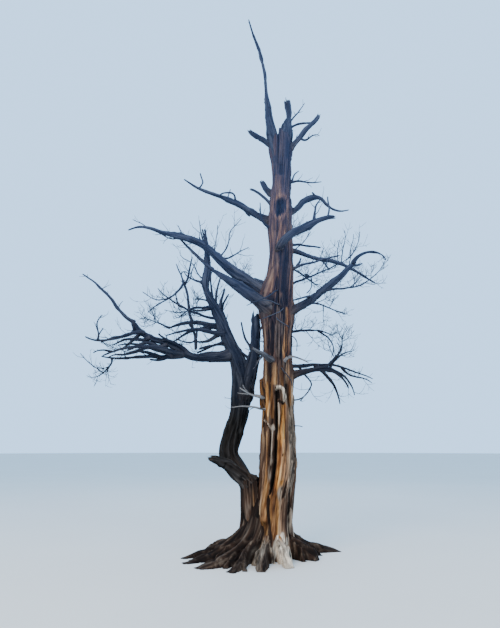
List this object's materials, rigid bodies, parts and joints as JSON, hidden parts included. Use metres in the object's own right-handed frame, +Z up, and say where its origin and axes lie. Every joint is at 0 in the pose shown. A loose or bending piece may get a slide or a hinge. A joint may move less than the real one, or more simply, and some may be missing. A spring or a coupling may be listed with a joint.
{
  "type": "dead tree",
  "caption": "Standing dead mountain conifer: bare weathered trunk with a broken forked top and long leader, crooked second stem, gnarled boughs and dead twigs.",
  "frame": {"origin": "on the flat cut at ground level, under the trunk", "axes": "+Z up the trunk; the open split in the trunk faces -Y; the second stem is on the -X side"},
  "size_m": [5.2396, 2.7682, 10.1407],
  "materials": {
    "trunk_wood": "bare weathered wood, honey brown with dark splits and silver-grey roots",
    "bough_wood": "dark grey-brown weathered wood",
    "pale_wood": "bleached bare wood",
    "twig_wood": "dark dry twigs"
  },
  "bodies": {
    "root": {"back_left_bough": "bough_wood", "back_low_bough": "bough_wood", "broad_stub": "bough_wood", "cross_left": "bough_wood", "crossing_bough": "bough_wood", "crown_prong": "bough_wood", "elbow_stub": "bough_wood", "front_stub": "bough_wood", "hook_bough": "bough_wood", "hook_tip": "bough_wood", "inner_stem": "bough_wood", "leader": "bough_wood", "long_left_bough": "bough_wood", "long_right_bough": "bough_wood", "low_left_bough": "bough_wood", "low_left_fork": "bough_wood", "low_left_front": "bough_wood", "low_left_sweep": "bough_wood", "low_left_under": "bough_wood", "low_right_arc": "bough_wood", "low_right_bough": "bough_wood", "mid_left_bough": "bough_wood", "mid_left_low": "bough_wood", "mid_right_bough": "bough_wood", "pale_left_snag": "pale_wood", "pale_left_spike": "pale_wood", "pale_right_snag": "pale_wood", "second_stem": "bough_wood", "straight_right_bough": "bough_wood", "thick_left_bough": "bough_wood", "thin_stub": "bough_wood", "top_left_stub": "bough_wood", "top_right_arm": "bough_wood", "top_right_bough": "bough_wood", "trunk": "trunk_wood", "twigs_back_high": "twig_wood", "twigs_back_left": "twig_wood", "twigs_back_low": "twig_wood", "twigs_crossing": "twig_wood", "twigs_droop_right": "twig_wood", "twigs_high_left": "twig_wood", "twigs_hook": "twig_wood", "twigs_link_left": "twig_wood", "twigs_long_left": "twig_wood", "twigs_low_left_hang": "twig_wood", "twigs_low_left_sprig": "twig_wood", "twigs_low_right": "twig_wood", "twigs_mid_left": "twig_wood", "twigs_mid_right": "twig_wood", "twigs_reach_left": "twig_wood", "twigs_right_behind": "twig_wood", "twigs_rising_right": "twig_wood", "twigs_stem_top": "twig_wood", "twigs_top": "twig_wood", "twigs_top_right": "twig_wood", "twigs_upper_left": "twig_wood", "twigs_upper_right": "twig_wood", "upper_left_bough": "bough_wood", "upper_right_bough": "bough_wood", "upright_left": "bough_wood"}
  },
  "joints": []
}
